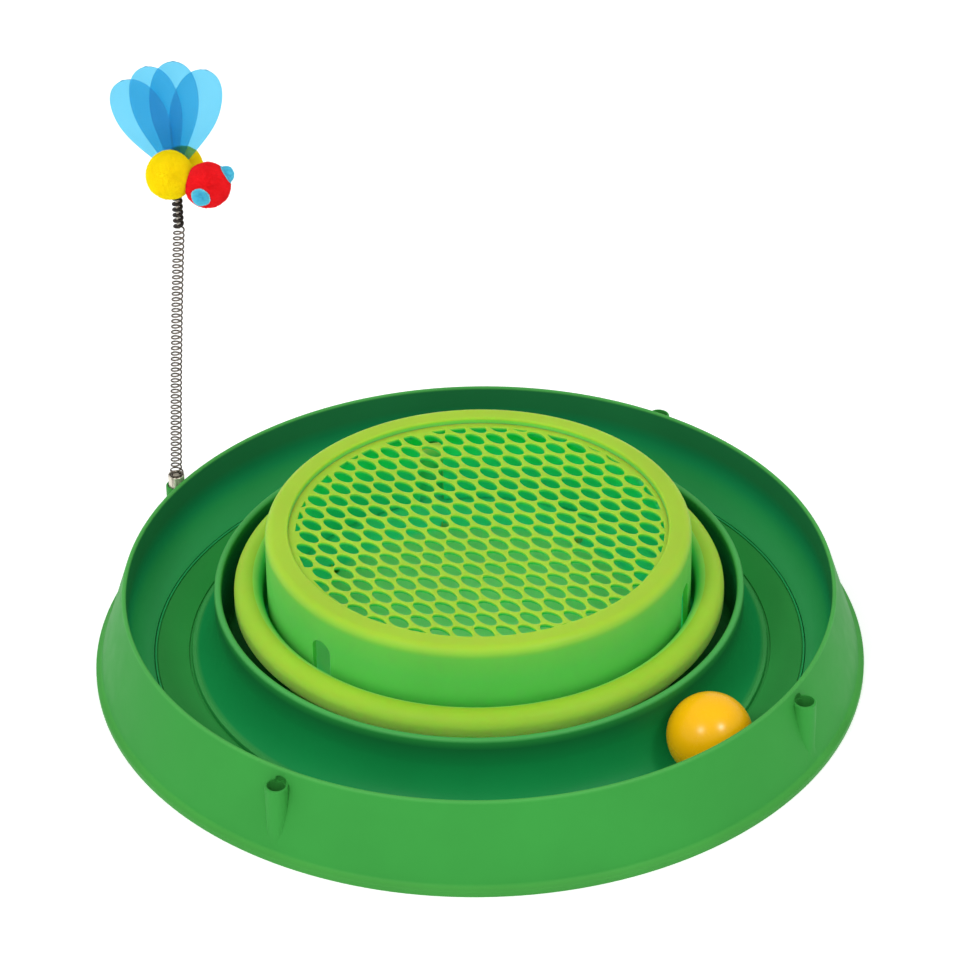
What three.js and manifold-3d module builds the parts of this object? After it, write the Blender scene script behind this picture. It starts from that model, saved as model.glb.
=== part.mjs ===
// Cat ball track toy: a round track with a rolling ball, a planter with a pierced cover in its middle,
// and a soft bug on a spring wand that plugs into one of four sockets in the track's wall.
// Millimetres, +Z up. The track's axis is Z and the toy stands on Z = 0.

import * as THREE from 'three';
import { mergeVertices } from 'three/addons/utils/BufferGeometryUtils.js';
import Module from 'manifold-3d';

const wasm = await Module();
wasm.setup();

// Fits shared by all pieces
const seatGap = 0.3; // between a piece and the seat that carries it
const roundSegments = 40; // facets round the large turned pieces
const ballSegments = 18; // facets round the ball
const feltSegments = 14; // facets round the bug's balls
const feltRings = 10;
const smallSides = 8; // facets round drains, plug and stem
const curveSteps = 5; // steps of a curved outline
const degree = Math.PI / 180;

// Ball and its track
const ballDiameter = 40;
const ballShell = 1.2; // wall of the hollow ball
const ballSideClearance = 0.9; // from the ball to each wall of the track
const ballAzimuth = -44.5; // where the ball lies, degrees from +X
const trackCentreRadius = 147.5; // circle that the ball's centre runs on
const laneWidth = 18; // hollowed strip that the ball rolls on
const laneSag = 1.2; // depth of the lane's hollow
const laneHeight = 7; // lowest line of the lane above the ground
const laneStep = 1; // the floor inside the lane stands this much above the lane's edge
const laneStepRun = 0.25; // the step's lean
const wallCurveRise = 1; // the walls are upright from this much above the ball's middle
const innerWallShare = 0.8; // share of the floor inside the lane that the inner wall's curve takes
const floorWall = 2.2; // thickness of the track floor

// Outer ring: skirt, wall and sockets
const rimHeight = 43;
const rimWidth = 2.2;
const ringWall = 2; // thickness of the skirt and of the curved wall
const skirtFlare = 11.6; // how far the skirt spreads from the rim down to the foot
const footLedge = 2.8; // width of the flange round the foot
const footHeight = 3; // straight edge of the flange
const footRise = 1.6; // the flange climbs this much to the skirt
const footWidth = 4; // width of the face that the ring stands on
const lipWidth = 5; // lip of the outer ring under the floor's edge
const lipWall = 2;

// Sockets for the wand
const socketCount = 4;
const socketAzimuth = 148.3; // the socket that holds the wand, degrees from +X
const socketStandOff = 5; // from the rim's outside to the socket's axis
const socketBossRadius = 5.9;
const socketBore = 8.8; // diameter
const socketDrop = 5.5; // the boss ends this much below the rim
const socketFloorHeight = 12; // bottom of the blind hole
const socketFootHeight = 5; // bottom of the boss
const socketSides = 16; // facets round sockets and ferrule

// Inner ring and well of the track floor
const innerRimRise = 0.5; // the inner ring stands this much above the outer rim
const innerRimWidth = 3.5;
const wellDraft = 0.6; // the well narrows by this much from the rim to its floor
const wellFloorHeight = 5; // top of the well's floor
const wellFloorWall = 2;
const wellFillet = 4;
const hollowTop = 19; // top of the hollow under the inner ring
const wellFootWidth = 4; // foot ring under the well's wall

// Planter tray
const trayGap = 6.1; // from the well's wall to the tray's rolled rim
const trayRimRadius = 6.8; // section of the rolled rim
const trayRimHeight = 41.5; // centre of the rolled rim's section
const trayRimDrop = 5; // straight outer edge under the rolled rim
const trayWall = 2;
const trayLedgeHeight = 22; // ledge that carries the cover
const trayLedgeWidth = 4.3; // the ledge reaches this far under the cover's wall
const bowlRise = 9.2; // the bowl's floor lies this much above the tray's foot
const bowlFlare = 8.2; // the bowl widens by this much from its floor to the ledge
const trayFootWidth = 2; // foot ring under the bowl's edge
const drainCount = 8;
const drainDiameter = 5;
const drainInset = 3.2; // from the bowl's wall to the drains' centres
const drainAzimuth = 57;

// Cover of the planter
const coverSideGap = 2.2; // from the rolled rim to the cover's wall
const coverWall = 2.2;
const coverTopHeight = 75.8;
const coverEdgeRadius = 4.5; // rounded top edge
const coverRimWidth = 10.9; // flat rim round the grid
const coverRimRound = 1; // inner edge of that rim
const coverShelfWidth = 2; // shelf that carries the grid
const coverShelfWall = 2;
const notchCount = 3;
const notchWidth = 9;
const notchTopHeight = 56;
const notchAzimuth = -138.8;

// Grid in the cover
const gridRecess = 3; // from the cover's top down to the grid
const gridThickness = 2;
const gridPitchLong = 13.3; // hole pitch along the ovals
const gridPitchCross = 7.57; // pitch of the staggered rows
const gridWebLong = 2.3; // bar between the ends of two ovals
const gridWebCross = 1.77; // bar between two rows
const gridTurn = -47.3; // direction of the ovals, degrees from +X
const gridShiftLong = 2.8; // place of the pattern's middle hole along the ovals
const gridShiftCross = -1.85; // and across them
const gridHoleSides = 4;
const gridCornerReach = 1.15; // corners of the faceted holes stand this much outside the oval
const gridSmallestShare = 0.19; // holes cut to less than this share at the edge are left closed

// Wand: ferrule, plug and spring
const ferruleDiameter = 8;
const ferruleWall = 0.6;
const ferruleStandOut = 6.1; // above the socket's boss
const plugDepth = 4.5; // the plug's top lies this far below the ferrule's mouth
const springMeanRadius = 2.5;
const springWire = 0.8; // diameter
const springTurns = 46;
const springPitch = 3.1;
const springLean = 0.0443; // slope of the spring's axis towards +X at its foot
const springBend = 0.000106; // growth of that slope with height, per millimetre
const curlSteps = 8;
const curlSides = 5;

// Neck between the spring and the bug
const neckMeanRadius = 1.85;
const neckWire = 2.1; // diameter
const neckTurns = 5;
const neckPitch = 3.3;
const stemDiameter = 0.9;
const stemStandOut = 8.8; // above the neck coil

// Bug: two body balls, head, eyes and wings. Places are from the stem's top.
const bodyRadius = 11.2;
const bodyHeightRadius = 11.6;
const bodyOffset = -1.7; // towards +X
const bodyRise = 8.7;
const bodyGap = 0.8; // from the wings, which lean towards the front ball
const rearRadius = 10.2;
const rearOffset = 2.5; // towards +X
const rearDrop = 1.6;
const rearGap = 0.15; // from the wings
const headRadius = 10.7;
const headSink = 3; // the head is pressed this far into the front ball
const headDirection = new THREE.Vector3(18, -4.9, -2.9); // from the front ball to the head
const eyeRadius = 4;
const eyeSink = 1; // the eye's centre lies this far inside the head's surface
const eyeDirections = [
  new THREE.Vector3(-0.3, -0.947, -0.104),
  new THREE.Vector3(0.87, 0.155, 0.476),
];
const wingThickness = 0.3;
const wingGap = 0.35; // between neighbouring wings at the root
const wingRootWidth = 1.6;
const wingRootFlare = 2.4; // how fast the wing widens from its root
const wingWidth = 24.4;
const wingInnerLength = 60.7; // the two middle wings
const wingOuterLength = 56.8; // the first and the last wing
const wingWidestShare = 0.65; // place of the greatest width along the wing
const wingRootPull = 0.3; // pulls of the outline's curves: at the root, below the widest place,
const wingWaistPull = 0.65;
const wingShoulderPull = 0.6; // above it
const wingTipPull = 0.64; // and at the tip
const wings = [
  { fan: -23.9, lean: -3, length: wingOuterLength },
  { fan: -9, lean: -1, length: wingInnerLength },
  { fan: 1.3, lean: 1, length: wingInnerLength },
  { fan: 15.3, lean: 3, length: wingOuterLength },
];

// Sizes that follow from the ones above
const ballRadius = ballDiameter / 2;
const wallFaceRadius = trackCentreRadius + ballRadius + ballSideClearance;
const innerFaceRadius = trackCentreRadius - ballRadius - ballSideClearance;
const rimOuterRadius = wallFaceRadius + rimWidth;
const skirtFootRadius = rimOuterRadius + skirtFlare;
const baseRadius = skirtFootRadius + footLedge;
const laneOuterRadius = trackCentreRadius + laneWidth / 2;
const laneInnerRadius = trackCentreRadius - laneWidth / 2;
const laneEdgeHeight = laneHeight + laneSag;
const innerFloorHeight = laneEdgeHeight + laneStep;
const curveTop = laneHeight + ballRadius + wallCurveRise;
const seamRadius = laneOuterRadius + seatGap;
const socketRadius = rimOuterRadius + socketStandOff;
const socketTop = rimHeight - socketDrop;
const innerRimHeight = rimHeight + innerRimRise;
const wellRadius = innerFaceRadius - innerRimWidth;
const trayRimOuter = wellRadius - trayGap;
const trayRimCentre = trayRimOuter - trayRimRadius;
const trayNeckRadius = trayRimCentre - trayRimRadius;
const trayUnderside = wellFloorHeight + seatGap;
const trayFloorHeight = trayUnderside + bowlRise;
const coverRadius = trayNeckRadius - coverSideGap;
const coverFootHeight = trayLedgeHeight + seatGap;
const ledgeInnerRadius = coverRadius - trayLedgeWidth;
const bowlFloorRadius = ledgeInnerRadius - bowlFlare;
const recessRadius = coverRadius - coverRimWidth;
const gridRadius = recessRadius - seatGap;
const gridTop = coverTopHeight - gridRecess;
const shelfRadius = recessRadius - coverShelfWidth;
const gridHoleLong = gridPitchLong - gridWebLong;
const gridHoleCross = gridPitchCross - gridWebCross;
const ferruleFoot = socketFloorHeight + seatGap;
const ferruleTop = socketTop + ferruleStandOut;
const ferruleBoreRadius = ferruleDiameter / 2 - ferruleWall;
const plugRadius = ferruleBoreRadius - seatGap;
const plugTop = ferruleTop - plugDepth;
const springFoot = plugTop + seatGap + springWire;
const springLength = springTurns * springPitch;
const springTop = springFoot + springLength;
const neckLength = neckTurns * neckPitch + 2 * neckWire;
const stemLength = neckLength + stemStandOut;

// Turns a geometry into one closed mesh: positions only, shared vertices, no empty triangles, faces out.
function closedMesh(source) {
  const bare = source.clone();
  bare.deleteAttribute('normal');
  bare.deleteAttribute('uv');
  const merged = mergeVertices(bare, 1e-4);
  const position = merged.attributes.position;
  const corners = [];
  let volume = 0;
  const a = new THREE.Vector3();
  const b = new THREE.Vector3();
  const c = new THREE.Vector3();
  for (let i = 0; i < merged.index.count; i += 3) {
    const triangle = [merged.index.getX(i), merged.index.getX(i + 1), merged.index.getX(i + 2)];
    if (new Set(triangle).size < 3) continue;
    corners.push(...triangle);
    a.fromBufferAttribute(position, triangle[0]);
    b.fromBufferAttribute(position, triangle[1]);
    c.fromBufferAttribute(position, triangle[2]);
    volume += a.dot(b.cross(c));
  }
  if (volume < 0) corners.reverse();
  const mesh = new THREE.BufferGeometry();
  mesh.setAttribute('position', position);
  mesh.setIndex(corners);
  return mesh;
}

// A solid that can be cut and joined.
function solid(source) {
  const mesh = closedMesh(source);
  return new wasm.Manifold(new wasm.Mesh({
    numProp: 3,
    vertProperties: new Float32Array(mesh.attributes.position.array),
    triVerts: new Uint32Array(mesh.index.array),
  }));
}

// A geometry from a cut or joined solid.
function meshOf(shape) {
  const result = shape.getMesh();
  const geometry = new THREE.BufferGeometry();
  geometry.setAttribute('position', new THREE.BufferAttribute(new Float32Array(result.vertProperties), 3));
  geometry.setIndex(Array.from(result.triVerts));
  return geometry;
}

// Points of an elliptical arc in the (radius, height) plane, ends included, angles in degrees.
function arc(radius, height, radiusReach, heightReach, from, to, steps) {
  const points = [];
  for (let i = 0; i <= steps; i += 1) {
    const angle = (from + (to - from) * i / steps) * degree;
    points.push([radius + radiusReach * Math.cos(angle), height + heightReach * Math.sin(angle)]);
  }
  return points;
}

// A turned piece about Z from a list of (radius, height) points.
function turned(profile, segments = roundSegments) {
  const points = profile.map(([radius, height]) => new THREE.Vector2(Math.max(radius, 0), height));
  return new THREE.LatheGeometry(points, segments).rotateX(Math.PI / 2);
}

// An upright cylinder between two heights at a place given by radius and azimuth.
function upright(radius, bottom, top, placeRadius, azimuth, sides) {
  const geometry = new THREE.CylinderGeometry(radius, radius, top - bottom, sides).rotateX(Math.PI / 2);
  const x = placeRadius * Math.cos(azimuth * degree);
  const y = placeRadius * Math.sin(azimuth * degree);
  return geometry.translate(x, y, (top + bottom) / 2);
}

// A round wire swept along a list of points, closed at both ends.
function wire(path, diameter, sides) {
  const vertices = [];
  const corners = [];
  const side = new THREE.Vector3(1, 0, 0); // the wire starts along Z
  path.forEach((point, i) => {
    const ahead = path[Math.min(i + 1, path.length - 1)];
    const behind = path[Math.max(i - 1, 0)];
    const along = ahead.clone().sub(behind).normalize();
    side.addScaledVector(along, -side.dot(along)).normalize();
    const across = along.clone().cross(side);
    for (let k = 0; k < sides; k += 1) {
      const angle = 2 * Math.PI * k / sides;
      const corner = point.clone();
      corner.addScaledVector(side, Math.cos(angle) * diameter / 2);
      corner.addScaledVector(across, Math.sin(angle) * diameter / 2);
      vertices.push(corner.x, corner.y, corner.z);
    }
  });
  for (let i = 0; i + 1 < path.length; i += 1) {
    for (let k = 0; k < sides; k += 1) {
      const next = (k + 1) % sides;
      const low = i * sides;
      const high = low + sides;
      corners.push(low + k, low + next, high + next);
      corners.push(low + k, high + next, high + k);
    }
  }
  const last = (path.length - 1) * sides;
  for (let k = 1; k + 1 < sides; k += 1) {
    corners.push(0, k + 1, k);
    corners.push(last, last + k, last + k + 1);
  }
  const geometry = new THREE.BufferGeometry();
  geometry.setAttribute('position', new THREE.Float32BufferAttribute(vertices, 3));
  geometry.setIndex(corners);
  return geometry;
}

// Points of a helix round an axis that may lean and bend towards +X. Both ends run straight along Z for
// one wire diameter.
function helix(radius, turns, pitch, diameter, lean, bend) {
  const points = [];
  const steps = Math.round(turns * curlSteps);
  for (let i = 0; i <= steps; i += 1) {
    const angle = 2 * Math.PI * i / curlSteps;
    const height = pitch * i / curlSteps;
    const shift = lean * height + bend * height * height;
    points.push(new THREE.Vector3(shift + radius * Math.cos(angle), radius * Math.sin(angle), height));
  }
  const straight = new THREE.Vector3(0, 0, diameter);
  points.unshift(points[0].clone().sub(straight));
  points.push(points[points.length - 1].clone().add(straight));
  return points;
}

// The least gap between a wire and its own later turns, measured on its points.
function leastGap(points, diameter) {
  let least = Infinity;
  for (let i = 0; i < points.length; i += 1) {
    for (let j = i + Math.ceil(curlSteps / 2); j < points.length; j += 1) {
      least = Math.min(least, points[i].distanceTo(points[j]));
    }
  }
  return least - diameter;
}

// Materials: moulded plastics, steel, felted balls and clear film
const plastic = (color, roughness) => new THREE.MeshStandardMaterial({ color, roughness, metalness: 0 });
const trackGreen = () => plastic(0x2f9b44, 0.42);
const planterLime = () => plastic(0x9bcb2f, 0.45);
const ballYellow = () => plastic(0xffb010, 0.25);
const blackSleeve = () => plastic(0x1d1512, 0.6);
const feltYellow = () => plastic(0xffdc00, 0.95);
const feltRed = () => plastic(0xe01b24, 0.95);
const feltBlue = () => plastic(0x55bfdc, 0.95);
const steel = () => new THREE.MeshStandardMaterial({ color: 0xb9b4ac, roughness: 0.25, metalness: 1 });
const film = () => new THREE.MeshStandardMaterial({
  color: 0x2aa9e0, roughness: 0.3, metalness: 0, transparent: true, opacity: 0.6,
});

const toy = new THREE.Group();

// Adds one named piece to a group.
function add(group, name, geometry, material) {
  const piece = new THREE.Mesh(closedMesh(geometry), material);
  piece.name = name;
  group.add(piece);
  return piece;
}

// Outer ring: foot flange, leaning skirt, rounded rim, curved wall and a lip under the floor's edge.
function outerRing() {
  const rimRound = rimWidth / 2;
  const wallReach = wallFaceRadius - seamRadius;
  const wallFall = curveTop - laneEdgeHeight;
  const lipTop = laneEdgeHeight - floorWall - seatGap;
  const lipBottom = lipTop - lipWall;
  const skirtRun = skirtFlare / (rimHeight - rimRound - footHeight - footRise);
  const skirtWall = ringWall * Math.hypot(1, skirtRun);
  const hollowRadius = wallFaceRadius + ringWall;
  const hollowDrop = (hollowRadius - rimOuterRadius + skirtWall) / skirtRun;
  const underside = arc(seamRadius, curveTop, wallReach + ringWall, wallFall + ringWall, 0, -60, 2);
  const profile = [
    [baseRadius, 0],
    [baseRadius, footHeight],
    [skirtFootRadius, footHeight + footRise],
    ...arc(wallFaceRadius + rimRound, rimHeight - rimRound, rimRound, rimRound, 0, 180, 2),
    ...arc(seamRadius, curveTop, wallReach, wallFall, 0, -90, 4),
    [seamRadius, lipTop],
    [seamRadius - lipWidth, lipTop],
    [seamRadius - lipWidth, lipBottom],
    [seamRadius + lipWall, lipBottom],
    ...underside.reverse(),
    [hollowRadius, rimHeight - rimRound - hollowDrop],
    [skirtFootRadius - skirtWall, footHeight + footRise],
    [baseRadius - footWidth, 0],
    [baseRadius, 0],
  ];
  let ring = solid(turned(profile));
  for (let i = 0; i < socketCount; i += 1) {
    const azimuth = socketAzimuth + 360 * i / socketCount;
    const boss = upright(socketBossRadius, socketFootHeight, socketTop, socketRadius, azimuth, socketSides);
    ring = ring.add(solid(boss));
  }
  for (let i = 0; i < socketCount; i += 1) {
    const azimuth = socketAzimuth + 360 * i / socketCount;
    const top = rimHeight + rimWidth;
    const bore = upright(socketBore / 2, socketFloorHeight, top, socketRadius, azimuth, socketSides);
    ring = ring.subtract(solid(bore));
  }
  return meshOf(ring);
}

// Track floor: well, inner ring, curved inner wall, step and hollowed lane.
function trackFloor() {
  const wellFootRadius = wellRadius - wellDraft;
  const rimRound = innerRimWidth / 2;
  const wallReach = (laneInnerRadius - innerFaceRadius) * innerWallShare;
  const wallFall = curveTop - innerFloorHeight;
  const wallFootRadius = innerFaceRadius + wallReach;
  const laneArcRadius = (laneWidth * laneWidth / 4 + laneSag * laneSag) / (2 * laneSag);
  const laneHalfAngle = Math.asin(laneWidth / 2 / laneArcRadius) / degree;
  const laneCentre = laneHeight + laneArcRadius;
  const laneEnds = [-90 - laneHalfAngle, -90 + laneHalfAngle];
  const hollowRadius = wellFootRadius + wellFootWidth / 2;
  const hollow = arc(wallFootRadius, curveTop, wallReach - floorWall, wallFall + floorWall, -90, -150, 2);
  return turned([
    [0, wellFloorHeight],
    ...arc(wellFootRadius - wellFillet, wellFloorHeight + wellFillet, wellFillet, wellFillet, -90, 0, 1),
    ...arc(innerFaceRadius - rimRound, innerRimHeight - rimRound, rimRound, rimRound, 180, 0, 3),
    ...arc(wallFootRadius, curveTop, wallReach, wallFall, -180, -90, 4),
    [laneInnerRadius - laneStepRun, innerFloorHeight],
    ...arc(trackCentreRadius, laneCentre, laneArcRadius, laneArcRadius, ...laneEnds, 4),
    [laneOuterRadius, laneEdgeHeight - floorWall],
    [laneOuterRadius - lipWidth - seatGap, laneEdgeHeight - floorWall],
    [laneInnerRadius, laneHeight - floorWall],
    ...hollow,
    [hollowRadius, hollowTop],
    [hollowRadius, 0],
    [hollowRadius - wellFootWidth, 0],
    [hollowRadius - wellFootWidth, wellFloorHeight - wellFloorWall],
    [0, wellFloorHeight - wellFloorWall],
  ]);
}

// Planter tray: drained bowl, ledge for the cover and a rolled rim that is open below.
function planterTray() {
  const innerRoll = trayRimRadius - trayWall;
  const bowlWallRadius = trayNeckRadius + trayWall;
  const profile = [
    [0, trayFloorHeight],
    [bowlFloorRadius, trayFloorHeight],
    [ledgeInnerRadius, trayLedgeHeight],
    [trayNeckRadius, trayLedgeHeight],
    ...arc(trayRimCentre, trayRimHeight, trayRimRadius, trayRimRadius, 180, 0, 8),
    [trayRimCentre + trayRimRadius, trayRimHeight - trayRimDrop],
    [trayRimCentre + innerRoll, trayRimHeight - trayRimDrop],
    ...arc(trayRimCentre, trayRimHeight, innerRoll, innerRoll, 0, 180, 4),
    [bowlWallRadius, trayLedgeHeight - trayWall],
    [ledgeInnerRadius + trayWall, trayLedgeHeight - trayWall],
    [bowlFloorRadius + trayFootWidth, trayFloorHeight - trayWall],
    [bowlFloorRadius + trayFootWidth, trayUnderside],
    [bowlFloorRadius, trayUnderside],
    [bowlFloorRadius, trayFloorHeight - trayWall],
    [0, trayFloorHeight - trayWall],
  ];
  let tray = solid(turned(profile));
  for (let i = 0; i < drainCount; i += 1) {
    const azimuth = drainAzimuth + 360 * i / drainCount;
    const place = bowlFloorRadius - drainInset;
    const drain = upright(drainDiameter / 2, 0, trayFloorHeight + trayWall, place, azimuth, smallSides);
    tray = tray.subtract(solid(drain));
  }
  return meshOf(tray);
}

// Cover ring: wall with arched notches at its foot, rounded top edge, flat rim and a shelf for the grid.
function coverRing() {
  const edge = coverEdgeRadius;
  const shelfTop = gridTop - gridThickness - seatGap;
  const shelfBottom = shelfTop - coverShelfWall;
  const innerRadius = coverRadius - coverWall;
  const rimRound = coverRimRound;
  const profile = [
    [innerRadius, coverFootHeight],
    [coverRadius, coverFootHeight],
    ...arc(coverRadius - edge, coverTopHeight - edge, edge, edge, 0, 90, 3),
    ...arc(recessRadius + rimRound, coverTopHeight - rimRound, rimRound, rimRound, 90, 180, 1),
    [recessRadius, shelfTop],
    [shelfRadius, shelfTop],
    [shelfRadius, shelfBottom],
    [innerRadius - coverWall, shelfBottom],
    [innerRadius, shelfBottom - coverWall],
    [innerRadius, coverFootHeight],
  ];
  let ring = solid(turned(profile));
  const notchRound = notchWidth / 2;
  const arch = new THREE.Shape();
  arch.moveTo(-notchRound, coverFootHeight - coverWall);
  arch.lineTo(notchRound, coverFootHeight - coverWall);
  arch.lineTo(notchRound, notchTopHeight - notchRound);
  arch.absarc(0, notchTopHeight - notchRound, notchRound, 0, Math.PI);
  const depth = coverWall * 3; // from one wall inside the cover to one wall outside
  for (let i = 0; i < notchCount; i += 1) {
    const cutter = new THREE.ExtrudeGeometry(arch, { depth, bevelEnabled: false, curveSegments: curveSteps });
    cutter.rotateX(Math.PI / 2).translate(0, -coverRadius + coverWall * 2, 0);
    cutter.rotateZ((notchAzimuth + 90 + 360 * i / notchCount) * degree);
    ring = ring.subtract(solid(cutter));
  }
  return meshOf(ring);
}

// Area of a closed outline.
function outlineArea(points) {
  return Math.abs(THREE.ShapeUtils.area(points));
}

// Grid: a flat disc pierced by staggered oval holes, cut short where they meet the shelf.
function coverGrid() {
  const disc = new THREE.Shape();
  disc.absarc(0, 0, gridRadius, 0, 2 * Math.PI);
  const holeLimit = shelfRadius - seatGap;
  const wholeHole = gridHoleLong * gridHoleCross * gridCornerReach * gridCornerReach / 2;
  const smallestHole = wholeHole * gridSmallestShare;
  const gridMiddle = new THREE.Vector2(gridShiftLong, gridShiftCross);
  const rows = Math.ceil(holeLimit / gridPitchCross) + 1;
  const columns = Math.ceil(holeLimit / gridPitchLong) + 1;
  for (let row = -rows; row <= rows; row += 1) {
    for (let column = -columns; column <= columns; column += 1) {
      const stagger = row % 2 === 0 ? 0 : gridPitchLong / 2;
      const centre = new THREE.Vector2(column * gridPitchLong + stagger, row * gridPitchCross);
      centre.add(gridMiddle);
      const outline = [];
      for (let k = 0; k < gridHoleSides; k += 1) {
        const angle = 2 * Math.PI * k / gridHoleSides;
        const offset = new THREE.Vector2(gridHoleLong * Math.cos(angle), gridHoleCross * Math.sin(angle));
        offset.multiplyScalar(gridCornerReach / 2);
        outline.push(offset.add(centre).clampLength(0, holeLimit));
      }
      if (centre.length() < holeLimit && outlineArea(outline) > smallestHole) {
        disc.holes.push(new THREE.Path(outline));
      }
    }
  }
  const options = { depth: gridThickness, bevelEnabled: false, curveSegments: roundSegments / 2 };
  const grid = new THREE.ExtrudeGeometry(disc, options);
  return grid.rotateZ(gridTurn * degree).translate(0, 0, gridTop - gridThickness);
}

// One half of the hollow ball, a bowl about Z with its rim at half the seam's gap.
function ballHalf() {
  const inner = ballRadius - ballShell;
  const edge = seatGap / 2;
  const outerStart = Math.asin(edge / ballRadius) / degree;
  const innerStart = Math.asin(edge / inner) / degree;
  return turned([
    ...arc(0, 0, ballRadius, ballRadius, 90, outerStart, 6),
    ...arc(0, 0, inner, inner, innerStart, 90, 4),
  ], ballSegments);
}

// Ferrule: a steel cup that stands in the socket and takes the spring's foot.
function ferrule() {
  const outer = ferruleDiameter / 2;
  const edge = ferruleWall / 4;
  return turned([
    [0, ferruleFoot],
    [outer - edge, ferruleFoot],
    [outer, ferruleFoot + edge],
    [outer, ferruleTop - edge],
    [outer - edge, ferruleTop],
    [ferruleBoreRadius, ferruleTop],
    [ferruleBoreRadius, ferruleFoot + ferruleWall],
    [0, ferruleFoot + ferruleWall],
  ], socketSides);
}

// Outline of one wing from its root up to its round tip.
function wingOutline(length) {
  const root = wingRootWidth / 2;
  const half = wingWidth / 2;
  const widest = length * wingWidestShare;
  const tip = length - widest;
  const shape = new THREE.Shape();
  const rootPull = [root + wingRootFlare, widest * wingRootPull];
  const shoulder = widest + tip * wingShoulderPull;
  shape.moveTo(root, 0);
  shape.bezierCurveTo(...rootPull, half, widest * wingWaistPull, half, widest);
  shape.bezierCurveTo(half, shoulder, half * wingTipPull, length, 0, length);
  shape.bezierCurveTo(-half * wingTipPull, length, -half, shoulder, -half, widest);
  shape.bezierCurveTo(-half, widest * wingWaistPull, -rootPull[0], rootPull[1], -root, 0);
  return shape;
}

// An egg-shaped ball round its centre.
function felted(radius, heightRadius, centre) {
  const ball = new THREE.SphereGeometry(1, feltSegments, feltRings).rotateX(Math.PI / 2);
  return ball.scale(radius, radius, heightRadius).translate(centre.x, centre.y, centre.z);
}

// The base and the planter
add(toy, 'outer_ring', outerRing(), trackGreen());
add(toy, 'track_floor', trackFloor(), trackGreen());
add(toy, 'planter_tray', planterTray(), planterLime());
add(toy, 'cover_ring', coverRing(), planterLime());
add(toy, 'cover_grid', coverGrid(), planterLime());

// The ball, two welded halves, at rest in the lane
const ball = new THREE.Group();
const ballPlaceX = trackCentreRadius * Math.cos(ballAzimuth * degree);
const ballPlaceY = trackCentreRadius * Math.sin(ballAzimuth * degree);
ball.position.set(ballPlaceX, ballPlaceY, laneHeight + seatGap + ballRadius);
toy.add(ball);
add(ball, 'ball_upper_half', ballHalf(), ballYellow());
add(ball, 'ball_lower_half', ballHalf().rotateX(Math.PI), ballYellow());

// The wand in its socket
const wand = new THREE.Group();
const wandX = socketRadius * Math.cos(socketAzimuth * degree);
const wandY = socketRadius * Math.sin(socketAzimuth * degree);
wand.position.set(wandX, wandY, 0);
toy.add(wand);
add(wand, 'wand_ferrule', ferrule(), steel());
const plugFoot = ferruleFoot + ferruleWall + seatGap;
add(wand, 'wand_plug', upright(plugRadius, plugFoot, plugTop, 0, 0, smallSides), blackSleeve());
const springPath = helix(springMeanRadius, springTurns, springPitch, springWire, springLean, springBend);
const spring = add(wand, 'wand_spring', wire(springPath, springWire, curlSides), steel());
spring.position.z = springFoot;

// The neck coil and the stem on the spring's top end
const neck = new THREE.Group();
const neckShift = springLean * springLength + springBend * springLength * springLength;
neck.position.set(neckShift, 0, springTop + springWire + seatGap);
wand.add(neck);
const neckPath = helix(neckMeanRadius, neckTurns, neckPitch, neckWire, 0, 0);
const coil = add(neck, 'neck_coil', wire(neckPath, neckWire, curlSides), blackSleeve());
coil.position.z = neckWire;
add(neck, 'bug_stem', upright(stemDiameter / 2, 0, stemLength, 0, 0, smallSides), steel());

// The bug round the stem's top end
const bug = new THREE.Group();
bug.position.z = stemLength;
neck.add(bug);
const wingPitch = wingThickness + wingGap;
const wingStack = (wings.length - 1) * wingPitch + wingThickness;
wings.forEach((wing, i) => {
  const options = { depth: wingThickness, bevelEnabled: false, curveSegments: curveSteps };
  const petal = new THREE.ExtrudeGeometry(wingOutline(wing.length), options);
  petal.translate(0, 0, -wingThickness / 2).rotateX(Math.PI / 2);
  const piece = add(bug, `wing_${i + 1}`, petal, film());
  piece.rotation.set(-wing.lean * degree, wing.fan * degree, 0);
  piece.position.set(0, (i - (wings.length - 1) / 2) * wingPitch, seatGap + wingThickness);
});
const bodyPlace = new THREE.Vector3(bodyOffset, -bodyRadius - wingStack / 2 - bodyGap, bodyRise);
const rearPlace = new THREE.Vector3(rearOffset, rearRadius + wingStack / 2 + rearGap, -rearDrop);
add(bug, 'bug_body_front', felted(bodyRadius, bodyHeightRadius, bodyPlace), feltYellow());
add(bug, 'bug_body_rear', felted(rearRadius, rearRadius, rearPlace), feltYellow());
const headReach = bodyRadius + headRadius - headSink;
const headPlace = headDirection.clone().normalize().multiplyScalar(headReach).add(bodyPlace);
const bodyRoom = felted(bodyRadius + seatGap, bodyHeightRadius + seatGap, bodyPlace);
const head = felted(headRadius, headRadius, headPlace);
add(bug, 'bug_head', meshOf(solid(head).subtract(solid(bodyRoom))), feltRed());
const headRoom = felted(headRadius + seatGap, headRadius + seatGap, headPlace);
eyeDirections.forEach((direction, i) => {
  const place = direction.clone().normalize().multiplyScalar(headRadius - eyeSink).add(headPlace);
  const eye = felted(eyeRadius, eyeRadius, place);
  add(bug, `bug_eye_${i + 1}`, meshOf(solid(eye).subtract(solid(headRoom))), feltBlue());
});

console.log(`wand_spring least gap to itself ${leastGap(springPath, springWire).toFixed(2)} mm`);
console.log(`neck_coil least gap to itself ${leastGap(neckPath, neckWire).toFixed(2)} mm`);

export default toy;
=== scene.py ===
"""Looks of a cat ball track toy: a ball in a ring track, a planter with a pierced cover and a bug on a spring wand.

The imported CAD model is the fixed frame. Sizes are in millimetres and are turned into metres where a mesh is made.
"""

import logging
import math
import random
from dataclasses import dataclass
from enum import Enum

import bmesh
import bpy
from mathutils import Matrix, Vector, geometry, noise


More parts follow.
